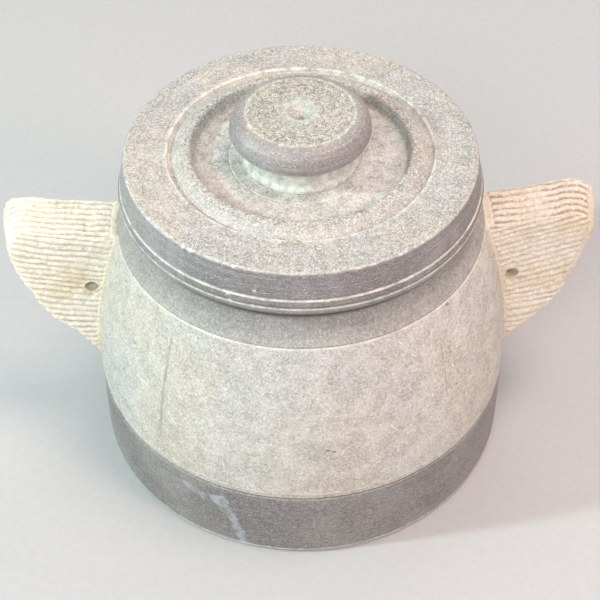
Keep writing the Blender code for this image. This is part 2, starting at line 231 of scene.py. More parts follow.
def pot_rows():
    rows = Rows()
    rows.to(0.0, FLOOR_Z).to(FLOOR_R, FLOOR_Z, step=2.5)
    for turned in (15, 30, 45, 60, 75, 90):
        angle = math.radians(turned)
        radius = FLOOR_R + INNER_CORNER_R * math.sin(angle)
        rows.to(radius, FLOOR_Z + INNER_CORNER_R * (1 - math.cos(angle)), step=3.0)
    for height in range(30, 82, 6):
        wall = WALL_AT_BASE - WALL_THINNING * (height - BASE_LINE_Z) / WALL_RISE
        rows.to(belly_radius(height) - wall, height, step=2.5)
    rows.to(MOUTH_R, RIM_Z - 7.0, step=2.0)
    rows.to(MOUTH_R, RIM_Z - 0.8, polish=0.3, step=1.0)
    rows.to(MOUTH_R + 0.8, RIM_Z, polish=0.4, step=0.4)
    rows.to(RIM_R - 0.8, RIM_Z, polish=0.4, step=1.0)
    # The rim's outer corner is painted near black: painted shade in the seam under the lid.
    rows.to(RIM_R, RIM_Z - 0.8, polish=0.9, dark=1.0, step=0.3)
    # The neck's top is painted near black just under the lid, and its polish, and so its darkness, rises
    # towards the lid: painted shade under the lid's overhang.
    top, bottom = RIM_Z - 0.8, NECK_LINE_Z + 0.6
    for index in range(1, 19):
        part = index / 18
        radius = RIM_R + (NECK_LINE_R - RIM_R) * part - 0.7 * math.sin(math.pi * part)
        seam_shade = min(1.0, max(0.0, (0.25 - part) / 0.08))
        rows.to(radius, top + (bottom - top) * part, polish=0.82 - 0.30 * part, dark=seam_shade, step=0.5)
    rows.to(NECK_LINE_R - 0.22, NECK_LINE_Z + 0.3, polish=0.45, worn=0.1, step=0.15)
    rows.to(NECK_LINE_R - 0.12, NECK_LINE_Z + 0.12, polish=0.2, worn=0.7, step=0.12)
    rows.to(NECK_LINE_R + 0.12, NECK_LINE_Z - 0.12, worn=1.0, step=0.12)
    rows.to(belly_radius(NECK_LINE_Z - 0.5), NECK_LINE_Z - 0.5, worn=0.25, step=0.15)
    rows.to(belly_radius(NECK_LINE_Z - 0.9), NECK_LINE_Z - 0.9, step=0.3)
    height = NECK_LINE_Z - 2.0
    while height > BASE_LINE_Z + 2.0:
        rows.to(belly_radius(height), height, step=0.6)
        height -= 1.5
    rows.to(belly_radius(BASE_LINE_Z + 1.3), BASE_LINE_Z + 1.3, step=0.4)
    # The dark values in the base line's two grooves are painted shade in the grooves.
    rows.to(BASE_LINE_R + 0.05, BASE_LINE_Z + 0.9, worn=0.75, step=0.12)
    rows.to(BASE_LINE_R - 0.1, BASE_LINE_Z + 0.65, worn=0.6, polish=0.2, step=0.1)
    rows.to(BASE_LINE_R - 0.45, BASE_LINE_Z + 0.5, polish=0.7, dark=0.55, step=0.1)
    rows.to(BASE_LINE_R - 0.25, BASE_LINE_Z + 0.25, polish=0.35, worn=0.1, step=0.12)
    rows.to(BASE_LINE_R - 0.12, BASE_LINE_Z - 0.9, polish=0.35, worn=0.15, step=0.25)
    rows.to(BASE_LINE_R - 0.55, BASE_LINE_Z - 1.2, polish=1.0, dark=0.7, step=0.1)
    rows.to(BASE_LINE_R + 0.05, BASE_LINE_Z - 1.5, polish=0.8, worn=0.15, step=0.1)
    rows.to(BASE_LINE_R + 0.1, BASE_LINE_Z - 2.2, polish=1.0, step=0.3)
    rows.to(BASE_R - 0.1, 10.0, polish=1.0, step=0.6)
    rows.to(BASE_R - 0.1, 2.4, polish=0.9, step=0.5)
    # The dark value in the chamfer's groove is painted shade.
    rows.to(BASE_R - 0.4, 2.1, polish=0.8, dark=0.3, step=0.1)
    rows.to(BASE_R - 0.1, 1.8, polish=0.5, worn=0.45, step=0.1)
    rows.to(BASE_R - 0.3, 0.9, polish=0.6, worn=0.1, step=0.2)
    rows.to(BASE_R - 1.0, 0.0, polish=0.5, worn=0.2, step=0.3)
    rows.to(0.0, 0.0, polish=0.3, step=3.0)
    return rows


def pot_relief(points, masks):
    turned = lattice_noise(points, (60.0, 60.0, 0.7), 3) * masks["polish"] * 0.03
    filed = rough_noise(points, 7.0, 11) * (1.0 - masks["polish"]) * 0.05
    places = scattered(22, NECK_LINE_Z, NECK_LINE_R, 0.3, 0.7, 21)
    places += scattered(30, BASE_LINE_Z + 0.8, BASE_LINE_R, 0.3, 0.8, 22)
    places += scattered(44, 1.3, BASE_R, 0.4, 1.6, 23)
    chipped = chips(points, places, 5)
    chipped *= points[:, 2] < RIM_Z - 8.0
    uneven = 0.75 + 0.5 * rough_noise(points, 3.0, 7)
    masks["worn"] = np.clip(masks["worn"] * uneven + 0.7 * chipped, 0.0, 1.0)
    return np.minimum(turned + filed - 0.06 - 0.35 * chipped, 0.0) * (points[:, 2] > 0.01)


def lid_rows():
    rows = Rows()
    rows.to(0.0, RECESS_Z).to(16.0, RECESS_Z, worn=0.3, step=4.0)
    rows.to(17.7, RECESS_Z, worn=0.4, step=0.4)
    rows.to(18.0, RECESS_Z - 0.15, worn=0.3, step=0.12)
    rows.to(18.3, RECESS_Z, worn=0.8, step=0.12)
    rows.to(18.9, RECESS_Z, worn=0.35, step=0.3)
    rows.to(20.9, RECESS_Z, worn=0.35, step=0.4)
    rows.to(21.2, RECESS_Z - 0.1, worn=0.75, step=0.12)
    rows.to(21.5, RECESS_Z, worn=0.35, step=0.12)
    rows.to(30.6, RECESS_Z, worn=0.40, step=0.4)
    rows.to(31.3, RECESS_Z + 0.2, worn=0.15, step=0.2)
    rows.to(31.7, RECESS_Z + 0.8, step=0.2)
    rows.to(32.4, COLLAR_Z - 0.7, coarse=0.3, step=0.35)
    rows.to(32.8, COLLAR_Z - 0.2, dark=0.1, coarse=0.8, step=0.15)
    rows.to(33.4, COLLAR_Z - 0.05, coarse=1.0, step=0.2)
    rows.to(34.5, COLLAR_Z - 0.15, coarse=1.0, step=0.2)
    rows.to(35.1, COLLAR_Z - 0.4, coarse=0.5, step=0.2)
    rows.to(36.0, COLLAR_Z - 0.75, worn=0.12, step=0.3)
    rows.to(38.3, LID_TOP_Z - 1.15, worn=0.2, step=0.35)
    rows.to(38.7, LID_TOP_Z - 1.3, worn=0.2, step=0.12)
    rows.to(39.0, LID_TOP_Z - 1.1, worn=0.45, step=0.1)
    rows.to(39.4, LID_TOP_Z - 0.2, worn=0.7, step=0.12)
    rows.to(39.7, LID_TOP_Z - 0.02, worn=0.85, step=0.1)
    rows.to(40.1, LID_TOP_Z, worn=0.25, step=0.12)
    rows.to(40.8, LID_TOP_Z, step=0.3)
    rows.to(48.0, LID_TOP_Z, step=0.5)
    rows.to(51.4, LID_TOP_Z, coarse=0.55, step=0.4)
    rows.to(51.9, LID_TOP_Z - 0.1, worn=0.1, coarse=0.4, step=0.15)
    rows.to(52.2, LID_TOP_Z - 0.3, worn=0.33, step=0.1)
    rows.to(52.45, LID_TOP_Z - 0.6, polish=0.6, worn=0.2, step=0.1)
    rows.to(52.6, LID_TOP_Z - 1.0, polish=1.0, step=0.15)
    rows.to(53.9, 102.1, polish=1.0, step=0.45)
    rows.to(53.95, 101.75, polish=1.0, step=0.15)
    # The dark value in this groove is painted shade.
    rows.to(53.5, 101.45, polish=1.0, dark=0.8, step=0.1)
    rows.to(53.85, 101.2, polish=0.6, worn=0.25, step=0.1)
    rows.to(54.15, 100.9, polish=0.2, worn=0.85, step=0.1)
    rows.to(54.35, 100.6, polish=1.0, worn=0.03, dark=0.2, coarse=0.5, step=0.12)
    rows.to(54.75, 99.2, polish=1.0, dark=0.24, coarse=0.8, step=0.25)
    # The dark values of this groove are painted shade.
    rows.to(54.5, 98.8, polish=1.0, dark=0.4, step=0.12)
    rows.to(54.3, 98.6, polish=1.0, dark=0.8, step=0.1)
    rows.to(54.6, 98.35, polish=0.4, worn=0.3, step=0.1)
    rows.to(54.75, 98.05, polish=0.3, worn=0.75, step=0.12)
    rows.to(54.68, 97.75, polish=0.8, worn=0.1, step=0.12)
    rows.to(54.5, 96.6, polish=1.0, coarse=0.3, step=0.3)
    # The lid's lower edge and the underside that sits on the rim are painted near black: painted shadow of
    # the seam under the lid's lip.
    rows.to(54.4, LID_SEAT_Z + 1.2, polish=0.9, dark=0.2, step=0.12)
    rows.to(54.0, LID_SEAT_Z + 0.5, polish=0.9, dark=0.9, step=0.12)
    rows.to(53.6, LID_SEAT_Z + 0.15, polish=0.9, dark=0.9, step=0.15)
    rows.to(53.0, LID_SEAT_Z, polish=0.9, dark=1.0, step=0.2)
    rows.to(50.0, LID_SEAT_Z, polish=0.9, dark=1.0, step=0.6)
    rows.to(MOUTH_R - 0.8, LID_SEAT_Z, polish=0.4, step=1.2)
    rows.to(MOUTH_R - 0.8, PLUG_Z + 1.2, polish=0.4, step=0.8)
    rows.to(MOUTH_R - 2.0, PLUG_Z, polish=0.3, step=0.6)
    rows.to(0.0, PLUG_Z, step=2.5)
    return rows


LID_CHIPS = [
    (232.5, 109.6, 52.3, 0.9),
    (229.5, 109.6, 52.3, 0.7),
    (247.0, 109.6, 52.4, 0.6),
    (285.0, 109.7, 52.3, 0.6),
    (299.0, 109.7, 52.3, 0.5),
    (254.0, 103.2, 53.8, 0.5),
    (246.0, 100.6, 54.3, 0.8),
    (246.5, 98.2, 54.6, 0.9),
    (301.0, 98.1, 54.6, 0.8),
    (300.0, 100.8, 54.2, 0.6),
    (323.0, 100.9, 54.1, 0.6),
]


def lid_relief(points, masks):
    turned = lattice_noise(points, (70.0, 70.0, 0.8), 33) * masks["polish"] * 0.025
    pitted = smooth_step(rough_noise(points, 1.3, 41), 0.45, 1.0)
    pitted = pitted * masks["coarse"] * (1.0 - 0.5 * masks["polish"])
    edge = scattered(110, LID_TOP_Z - 0.3, 52.3, 0.25, 0.6, 51)
    bead = scattered(60, 100.8, 54.2, 0.25, 0.7, 52) + scattered(60, 98.1, 54.6, 0.25, 0.7, 53)
    chipped = chips(points, LID_CHIPS + edge + bead, 9)
    uneven = 0.7 + 0.7 * rough_noise(points, 2.2, 17)
    masks["worn"] = np.clip(masks["worn"] * uneven + 0.7 * chipped, 0.0, 1.0)
    masks["dark"] = np.clip(masks["dark"] + 0.7 * pitted, 0.0, 1.0)
    return np.minimum(turned - 0.03, 0.0) - 0.3 * pitted - 0.35 * chipped


def knob_rows():
    top = KNOB_HIGH.z
    rows = Rows()
    rows.to(0.0, top - 3.8, worn=0.15)
    rows.to(3.8, top - 0.2, worn=0.3, step=0.3)
    rows.to(4.1, top - 0.02, worn=0.4, step=0.15)
    for ring in (7.4, 10.9, 13.2):
        rows.to(ring - 0.25, top - 0.02, coarse=1.0, step=0.35)
        rows.to(ring, top - 0.06, worn=0.22, coarse=0.5, step=0.15)
        rows.to(ring + 0.25, top - 0.02, coarse=1.0, step=0.15)
    rows.to(15.1, top - 0.02, coarse=1.0, step=0.35)
    rows.to(15.5, top - 0.08, worn=0.2, coarse=0.8, step=0.12)
    rows.to(15.9, top - 0.05, worn=0.38, coarse=0.5, step=0.12)
    rows.to(16.4, top - 0.15, polish=0.5, worn=0.1, step=0.15)
    side = ((18.0, 123.35), (19.1, 122.6), (20.0, 121.4), (20.6, 119.9), (20.8, 118.4), (20.7, 117.6))
    for radius, height in side:
        rows.to(radius, height, polish=1.0, coarse=0.25, step=0.3)
    # The dark value in the notch under the knob's rim is painted shade.
    rows.to(20.45, 117.35, polish=1.0, dark=0.35, step=0.12)
    rows.to(20.55, 117.1, polish=0.8, worn=0.2, step=0.1)
    rows.to(20.1, 116.35, polish=0.75, worn=0.1, step=0.2)
    rows.to(19.2, 115.5, polish=0.6, worn=0.1, step=0.25)
    rows.to(17.4, 114.6, worn=0.5, step=0.3)
    rows.to(16.6, 113.6, worn=0.75, step=0.3)
    rows.to(16.4, 109.4, worn=0.9, step=0.3)
    rows.to(16.7, 108.7, worn=0.9, step=0.2)
    rows.to(17.4, 108.2, worn=0.9, step=0.2)
    rows.to(17.5, KNOB_LOW.z - 0.25, worn=0.8, step=0.2)
    rows.to(0.0, KNOB_LOW.z - 0.25, step=3.0)
    return rows


def knob_relief(points, masks):
    pitted = smooth_step(rough_noise(points, 1.1, 61), 0.3, 1.0) * masks["coarse"]
    wobble = lattice_noise(points, 6.0, 63) * 0.04
    edge = chips(points, scattered(26, KNOB_HIGH.z - 0.1, 16.1, 0.3, 0.8, 64), 65)
    uneven = 0.8 + 0.5 * rough_noise(points, 1.6, 66)
    masks["worn"] = np.clip(masks["worn"] * uneven + 0.3 * edge, 0.0, 1.0)
    masks["dark"] = np.clip(masks["dark"] + 0.28 * pitted, 0.0, 1.0)
    return np.minimum(wobble - 0.05, 0.0) - 0.22 * pitted - 0.08 * edge


# ---------------------------------------------------------------- handles

HANDLE_VOXEL = 0.33
HANDLE_ROUNDING = 45  # smoothing passes that wear the edges round
GROOVE_PITCH = 2.3
GROOVE_DEPTH = 0.75
GROOVE_SHAPE = 1.7  # higher makes the ridges wider and the valleys narrower
HANDLE_FRONT_Y = -8.0
HANDLE_DEEP = 18.0
HANDLE_FLARE = 0.105
HANDLE_FLARE_START = 57.5
TOP_EXTRA_DEPTH = 0.35
# painted shade: the grooves of faces that look up get this much more of it
TOP_EXTRA_SHADE = 0.6
STRIP_LINE_DEPTH = 0.3
BORDER_WIDTH = 2.0
BORDER_LOW = 62.0  # the border strip fades out below this height
ROOT_STRIP = 1.25
HOLE_OUT = 66.3
HOLE_Z = 63.0
HOLE_LIP_OUT = 0.4  # the broken lip lies beside and below the hole
HOLE_LIP_DOWN = 2.3
HOLE_LIP_DEPTH = 0.6
ROOT_REACH = 0.7  # the root runs this far into the pot, so that no gap shows
TOP_FACE_LOW = 76.0  # faces that look up above this height are the wing's top
CLIMB_LOW = 15.0
CLIMB_HIGH = 74.0
CLIMB_START = 60.0  # the grooves climb outward from this far out
OUTLINE_EASE = 0.35  # how much shallower the grooves are round the outline
# painted shade along the border strip's line
STRIP_LINE_SHADE = 0.6
SKIN_WEAR = 0.15
ROUGH_DEPTH = 0.20
GOUGE_DEPTH = 0.3
DENT_DEPTH = 0.5


def copy_of(node, name):
    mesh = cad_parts[node].data.copy()
    obj = bpy.data.objects.new(name, mesh)
    bpy.context.scene.collection.objects.link(obj)
    return obj


def bake(obj):
    bpy.context.view_layer.update()
    graph = bpy.context.evaluated_depsgraph_get()
    mesh = bpy.data.meshes.new_from_object(obj.evaluated_get(graph))
    obj.modifiers.clear()
    obj.data = mesh


def saw(value):
    """A worn chisel groove: a rounded ridge with a narrow valley, 0 at the crest and 1 in the valley."""
    phase = value - np.floor(value)
    return np.abs(2.0 * phase - 1.0) ** GROOVE_SHAPE


def round_edges(obj, side):
    """Wears the wing's edges round, but leaves its root and its cord hole as they are."""
    group = obj.vertex_groups.new(name="worn_round")
    count = len(obj.data.vertices)
    points = np.empty(count * 3)
    obj.data.vertices.foreach_get("co", points)
    points = points.reshape(-1, 3) / MM
    from_root = np.hypot(points[:, 0], points[:, 1]) - belly_radius(points[:, 2])
    hole = np.hypot(points[:, 0] * side - HOLE_OUT, points[:, 2] - HOLE_Z)
    weight = smooth_step(from_root, 1.0, 3.5) * smooth_step(hole, 2.4, 3.6)
    for index in np.nonzero(weight > 0.01)[0]:
        group.add([int(index)], float(weight[index]), "REPLACE")
    smooth = obj.modifiers.new("Worn edges", "SMOOTH")
    smooth.factor = 0.5
    smooth.iterations = HANDLE_ROUNDING
    smooth.vertex_group = group.name
    bake(obj)


def handle_piece(node, name, side, slope, top_pitch, top_strip, border, seed):
    """The CAD wing with chisel grooves, a smooth strip along its root and ragged edges."""
    obj = copy_of(node, name)
    remesh = obj.modifiers.new("Fine mesh", "REMESH")
    remesh.mode = "VOXEL"
    remesh.voxel_size = HANDLE_VOXEL * MM
    bake(obj)
    round_edges(obj, side)
    mesh = obj.data
    count = len(mesh.vertices)
    points = np.empty(count * 3)
    normals = np.empty(count * 3)
    mesh.vertices.foreach_get("co", points)
    mesh.vertices.foreach_get("normal", normals)
    points = points.reshape(-1, 3) / MM
    normals = normals.reshape(-1, 3)
    out = points[:, 0] * side
    radius = np.hypot(points[:, 0], points[:, 1])
    from_root = radius - belly_radius(points[:, 2])
    hole = np.hypot(out - HOLE_OUT, points[:, 2] - HOLE_Z)
    lip = np.hypot(out - HOLE_OUT - HOLE_LIP_OUT, points[:, 2] - HOLE_Z + HOLE_LIP_DOWN)
    hole_lip = 1.0 - smooth_step(lip, 1.0, 2.6)
    up = smooth_step(normals[:, 2], 0.3, 0.6) * (points[:, 2] > TOP_FACE_LOW)
    wander = 0.42 * lattice_noise(points, (16.0, 30.0, 7.0), seed)
    wander += 0.13 * lattice_noise(points, (3.0, 6.0, 2.0), seed + 1)
    climb = slope * smooth_step(points[:, 2], CLIMB_LOW, CLIMB_HIGH) * (out - CLIMB_START)
    on_face = (points[:, 2] - climb) / GROOVE_PITCH + wander
    on_top = points[:, 1] / top_pitch + wander
    valley = np.where(up > 0.5, saw(on_top), saw(on_face))
    strength = 0.85 + 0.45 * lattice_noise(points, (8.0, 20.0, 2.6), seed + 2)
    strength = np.clip(strength, 0.2, 1.2)
    strip_width = np.where(up > 0.5, top_strip, ROOT_STRIP)
    strip = smooth_step(from_root, strip_width * 0.85, strip_width * 1.15)
    if border:
        edge = handle_reach(points) - out
        inside = smooth_step(edge, BORDER_WIDTH * 0.8, BORDER_WIDTH * 1.2)
        strip *= np.maximum(inside, 1.0 - smooth_step(points[:, 2], BORDER_LOW - 8.0, BORDER_LOW + 4.0))
    strip *= smooth_step(hole, 2.1, 2.8)
    rough = rough_noise(points, (1.5, 1.5, 0.9), seed + 3) * ROUGH_DEPTH
    gouges = smooth_step(rough_noise(points, (6.0, 6.0, 1.6), seed + 5), 0.55, 1.0) * GOUGE_DEPTH
    outline = 1.0 - smooth_step(np.abs(normals[:, 1]), 0.3, 0.8)
    dents = smooth_step(lattice_noise(points, (5.0, 7.0, 4.0), seed + 7), 0.1, 0.9)
    dents = dents * outline * DENT_DEPTH
    strip_line = 4.0 * strip * (1.0 - strip) * (hole > 3.5)
    cut = GROOVE_DEPTH * (1.0 - OUTLINE_EASE * outline * (up < 0.5) + TOP_EXTRA_DEPTH * up)
    moved = -cut * valley * strip * strength - SKIN_WEAR + rough - gouges * strip - dents
    moved -= STRIP_LINE_DEPTH * strip_line
    moved -= HOLE_LIP_DEPTH * hole_lip * smooth_step(-normals[:, 1], 0.5, 0.8)
    at_root = from_root < 0.55
    moved = np.where(at_root, 0.0, np.minimum(moved, 0.0))
    points += normals * moved[:, None]
    pull = np.where(at_root, ROOT_REACH, 0.0)
    points[:, 0] -= pull * points[:, 0] / radius
    points[:, 1] -= pull * points[:, 1] / radius
    mesh.vertices.foreach_set("co", (points * MM).ravel())
    # The valley value paints shade into the grooves and the strip line, more of it on faces that look up.
    painted = np.maximum(valley * strip * strength, STRIP_LINE_SHADE * strip_line)
    paint(mesh, "valley", painted * (1.0 + TOP_EXTRA_SHADE * up))
    paint(mesh, "strip", 1.0 - strip)
    paint(mesh, "joint", 1.0 - smooth_step(from_root, 0.5, 0.9))
    mesh.update()
    mesh.shade_smooth()
    return obj


def handle_reach(points):
    """How far out the right-hand wing reaches at each point, near enough to place its border strip."""
    heights = (31.5, 40.0, 48.5, 60.0, 72.5, 83.0)
    reaches = (67.3, 74.2, 80.8, 85.6, 88.4, 89.8)
    at_front = np.interp(points[:, 2], heights, reaches)
    deep = (points[:, 1] - HANDLE_FRONT_Y) / HANDLE_DEEP
    return HANDLE_FLARE_START + (at_front - HANDLE_FLARE_START) * (1.0 + HANDLE_FLARE * deep)


# ---------------------------------------------------------------- materials

# Soapstone tints, and a near black for painted shade. A shade is multiplied in; the others replace the
# stone's own colour by a share.
TAN_CLOUD = (0.60, 0.49, 0.36)
BLUE_CLOUD = (0.42, 0.43, 0.46)
MOTTLE_SHADE = (0.62, 0.62, 0.60)
PIT_SHADE = (0.56, 0.54, 0.51)
RING_SHADE = (0.66, 0.64, 0.60)
FLECK = (0.86, 0.84, 0.78)
OLIVE = (0.19, 0.175, 0.12)
MOSS = (0.30, 0.27, 0.17)
FILED_PALE = (0.86, 0.85, 0.80)
FILED_DARK = (0.33, 0.315, 0.30)
# painted shade: near black for the seam under the lid and the grooves, also used to darken pits
SHADE_AND_PIT_BLACK = (0.055, 0.05, 0.045)
SCRATCH_PALE = (0.88, 0.87, 0.82)
SEAM_GREY = (0.27, 0.27, 0.26)
DOT_BLACK = (0.13, 0.12, 0.11)
VEIN_BLUE = (0.46, 0.49, 0.54)

# Tints of the paler stone of the handles, and a brown for the painted shade in its valleys.
HANDLE_OCHRE = (0.68, 0.55, 0.36)
# painted shade in the grooves of the tooling
VALLEY_SHADE_BROWN = (0.34, 0.27, 0.185)
GRAIN_PALE = (0.93, 0.90, 0.81)
GRAIN_DARK = (0.42, 0.36, 0.28)
JOINT_CREAM = (0.86, 0.78, 0.58)


class Graph:
    """Short names for building one material's nodes."""

    def __init__(self, name):
        self.material = bpy.data.materials.new(name)
        self.material.use_nodes = True
        self.tree = self.material.node_tree
        self.shader = self.tree.nodes["Principled BSDF"]

    def add(self, kind, **settings):
        node = self.tree.nodes.new(kind)
        for key, value in settings.items():
            setattr(node, key, value)
        return node

    def put(self, socket, value):
        if isinstance(value, bpy.types.NodeSocket):
            self.tree.links.new(value, socket)
        elif isinstance(value, tuple) and len(value) == 3 and socket.type == "RGBA":
            socket.default_value = (*value, 1.0)
        else:
            socket.default_value = value

    def place(self):
        return self.add("ShaderNodeTexCoord").outputs["Object"]

    def attribute(self, name):
        return self.add("ShaderNodeAttribute", attribute_name=name).outputs["Fac"]

    def math(self, operation, first, second=0.0, third=0.0):
        node = self.add("ShaderNodeMath", operation=operation)
        for socket, value in zip(node.inputs, (first, second, third)):
            self.put(socket, value)
        return node.outputs[0]

    def stretch(self, vector, scale, turn=(0.0, 0.0, 0.0)):
        node = self.add("ShaderNodeMapping")
        self.put(node.inputs["Vector"], vector)
        node.inputs["Scale"].default_value = scale
        node.inputs["Rotation"].default_value = turn
        return node.outputs[0]

    def noise(self, vector, scale, detail=2.0, roughness=0.5):
        node = self.add("ShaderNodeTexNoise")
        self.put(node.inputs["Vector"], vector)
        node.inputs["Scale"].default_value = scale
        node.inputs["Detail"].default_value = detail
        node.inputs["Roughness"].default_value = roughness
        return node.outputs["Fac"]

    def between(self, value, low, high, out_low=0.0, out_high=1.0, shape="SMOOTHSTEP"):
        node = self.add("ShaderNodeMapRange", interpolation_type=shape)
        self.put(node.inputs["Value"], value)
        node.inputs["From Min"].default_value = low
        node.inputs["From Max"].default_value = high
        node.inputs["To Min"].default_value = out_low
        node.inputs["To Max"].default_value = out_high
        return node.outputs[0]

    def mix(self, share, first, second, blend="MIX"):
        node = self.add("ShaderNodeMix", data_type="RGBA", blend_type=blend)
        self.put(node.inputs[0], share)
        self.put(node.inputs[6], first)
        self.put(node.inputs[7], second)
        return node.outputs[2]

    def bump(self, height, strength, distance, before=None):
        node = self.add("ShaderNodeBump")
        self.put(node.inputs["Height"], height)
        node.inputs["Strength"].default_value = strength
        node.inputs["Distance"].default_value = distance
        if before:
            self.put(node.inputs["Normal"], before)
        return node.outputs[0]

    def finish(self, colour, roughness, normal, specular):
        self.put(self.shader.inputs["Base Color"], colour)
        self.put(self.shader.inputs["Roughness"], roughness)
        self.put(self.shader.inputs["Normal"], normal)
        self.shader.inputs["Specular IOR Level"].default_value = specular
        return self.material


UNROLL_RADIUS = 0.062  # metres: about the middle of the belly


def unrolled(graph):
    """Distance round the pot and height, both in metres, with the seam at the back."""
    parts = graph.add("ShaderNodeSeparateXYZ")
    graph.put(parts.inputs[0], graph.place())
    back_to_front = graph.math("MULTIPLY", parts.outputs["Y"], -1.0)
    angle = graph.math("ARCTAN2", parts.outputs["X"], back_to_front)
    joined = graph.add("ShaderNodeCombineXYZ")
    graph.put(joined.inputs["X"], graph.math("MULTIPLY", angle, UNROLL_RADIUS))
    graph.put(joined.inputs["Y"], parts.outputs["Z"])
    return joined.outputs[0]


def turning_marks(graph):
    """Fine rings round the axis: stacked on upright faces, concentric on level ones."""
    parts = graph.add("ShaderNodeSeparateXYZ")
    graph.put(parts.inputs[0], graph.place())
    across, deep = parts.outputs["X"], parts.outputs["Y"]
    across_squared = graph.math("MULTIPLY", across, across)
    squares = graph.math("ADD", across_squared, graph.math("MULTIPLY", deep, deep))
    joined = graph.add("ShaderNodeCombineXYZ")
    graph.put(joined.inputs["X"], graph.math("SQRT", squares))
    graph.put(joined.inputs["Y"], parts.outputs["Z"])
    graph.put(joined.inputs["Z"], graph.math("MULTIPLY", across, 0.015))
    return graph.noise(joined.outputs[0], 1100.0, 3.0, 0.6)


def stroke(graph, flat, at, turn, length, width, bend=0.0):
    """One mark on the unrolled surface, in millimetres: `at` is (distance round from the front, height)."""
    node = graph.add("ShaderNodeMapping", vector_type="TEXTURE")
    graph.put(node.inputs["Vector"], flat)
    node.inputs["Location"].default_value = (at[0] * MM, at[1] * MM, 0.0)
    node.inputs["Rotation"].default_value = (0.0, 0.0, math.radians(turn))
    parts = graph.add("ShaderNodeSeparateXYZ")
    graph.put(parts.inputs[0], node.outputs[0])
    along, across = parts.outputs["X"], parts.outputs["Y"]
    if bend:
        curve = graph.math("MULTIPLY", graph.math("MULTIPLY", along, along), bend / MM)
        across = graph.math("ADD", across, curve)
    within = graph.between(graph.math("ABSOLUTE", along), length * MM * 0.3, length * MM * 0.5, 1.0, 0.0)
    near = graph.between(graph.math("ABSOLUTE", across), width * MM * 0.25, width * MM * 0.5, 1.0, 0.0)
    return graph.math("MULTIPLY", within, near)


def most(graph, masks):
    """The strongest of several masks at each point."""
    total = masks[0]
    for mask in masks[1:]:
        total = graph.math("MAXIMUM", total, mask)
    return total


def fibres(graph, flat, turns, length, width, cover, spread=0.1):
    """Short fine strokes that lean each way in turn, as on filed stone."""
    masks = []
    for turn in turns:
        leaned = graph.stretch(flat, (1.0, 1.0, 1.0), (0.0, 0.0, math.radians(turn)))
        drawn = graph.stretch(leaned, (1.0 / length, 1.0 / width, 1.0 / width))
        masks.append(graph.between(graph.noise(drawn, 1.0, 1.0), cover, cover + spread))
    return most(graph, masks)


def scratches(graph, flat, turn, length, width, share):
    """Sparse light strokes that all lean one way."""
    leaned = graph.stretch(flat, (1.0, 1.0, 1.0), (0.0, 0.0, math.radians(turn)))
    drawn = graph.stretch(leaned, (1.0 / length, 1.0 / width, 1.0))
    strokes = graph.between(graph.noise(drawn, 1.0, 1.0), 0.66, 0.76)
    present = graph.between(graph.noise(leaned, 90.0, 2.0), share, share + 0.12)
    return graph.math("MULTIPLY", strokes, present)


def scaled(colour, share):
    return tuple(channel * share for channel in colour)


class StoneValues:
    """The point values and noises that the layers of a soapstone share."""

    def __init__(self, graph, unroll):
        self.place = graph.place()
        self.flat = unrolled(graph) if unroll else self.place
        self.polish = graph.attribute("polish")
        self.worn = graph.attribute("worn")
        self.coarse = graph.attribute("coarse")
        self.fine = graph.noise(self.place, 1500.0, 3.0, 0.7)
        self.grain = graph.noise(self.place, 800.0, 3.0, 0.65)
        self.mottle = graph.noise(self.place, 190.0, 4.0, 0.6)
        self.cloud = graph.noise(self.place, 34.0, 4.0, 0.55)
        self.rings = turning_marks(graph)


def stone_body(graph, stone, pale, dark, tinted):
    """The clouded pale stone, giving way to the dark where it is polished."""
    colour = graph.mix(graph.between(stone.cloud, 0.46, 0.62, 0.0, tinted), pale, TAN_CLOUD)
    turned_place = graph.stretch(stone.place, (1.0, 1.0, 1.0), (0.7, 0.4, 0.2))
    bluish = graph.noise(turned_place, 27.0, 3.0, 0.5)
    colour = graph.mix(graph.between(bluish, 0.48, 0.66, 0.0, tinted), colour, BLUE_CLOUD)
    polished = graph.mix(graph.between(stone.cloud, 0.42, 0.60), dark, scaled(dark, 1.7))
    polished = graph.mix(graph.between(stone.mottle, 0.40, 0.62, 0.0, 0.6), polished, scaled(dark, 0.68))
    polished = graph.mix(graph.between(stone.rings, 0.50, 0.70, 0.0, 0.42), polished, scaled(dark, 2.0))
    colour = graph.mix(graph.between(stone.polish, 0.0, 1.0, shape="LINEAR"), colour, polished)
    mottled = graph.between(stone.mottle, 0.34, 0.66, 0.68, 0.0)
    return graph.mix(mottled, colour, MOTTLE_SHADE, "MULTIPLY")


